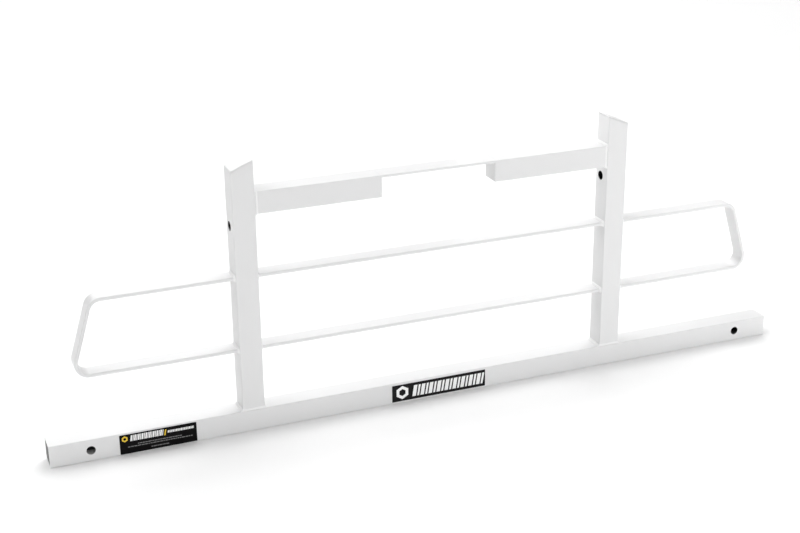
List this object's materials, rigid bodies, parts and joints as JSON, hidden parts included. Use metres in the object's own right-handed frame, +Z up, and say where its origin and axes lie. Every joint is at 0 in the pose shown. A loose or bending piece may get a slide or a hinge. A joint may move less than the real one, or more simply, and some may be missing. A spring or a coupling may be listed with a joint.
{
  "type": "headache rack",
  "caption": "White welded steel cab guard for a pickup bed: square-tube base rail, uprights and gapped top rail, with flat-bar rungs and wing loops.",
  "frame": {"origin": "middle of the base rail's underside, where the rack stands", "axes": "+X along the base rail to the right seen from the front, +Y to the back, +Z up"},
  "size_m": [1.8, 0.0526, 0.6258],
  "materials": {
    "white_coat": "white powder coat, satin, fine orange peel",
    "weld_coat": "white powder coat over weld beads",
    "cap_plastic": "black moulded plastic",
    "label_vinyl": "black vinyl sticker with plain white marks"
  },
  "bodies": {
    "root": {"base_rail": "white_coat", "base_end_cap_left": "cap_plastic", "base_end_cap_right": "cap_plastic", "upright_left": "white_coat", "upright_right": "white_coat", "upright_cap_left": "white_coat", "upright_cap_right": "white_coat", "top_rail_left": "white_coat", "top_rail_right": "white_coat", "top_rail_end_plate_left": "white_coat", "top_rail_end_plate_right": "white_coat", "light_gap_bridge": "white_coat", "rung_upper": "white_coat", "rung_lower": "white_coat", "wing_loop_left": "white_coat", "wing_loop_right": "white_coat", "weld_foot_left": "weld_coat", "weld_foot_right": "weld_coat", "weld_top_rail_left": "weld_coat", "weld_top_rail_right": "weld_coat", "weld_bridge_left": "weld_coat", "weld_bridge_right": "weld_coat", "weld_rung_upper_left": "weld_coat", "weld_rung_upper_right": "weld_coat", "weld_rung_lower_left": "weld_coat", "weld_rung_lower_right": "weld_coat", "weld_wing_upper_left": "weld_coat", "weld_wing_upper_right": "weld_coat", "weld_wing_lower_left": "weld_coat", "weld_wing_lower_right": "weld_coat", "label_centre": "label_vinyl", "label_left": "label_vinyl"}
  },
  "joints": []
}
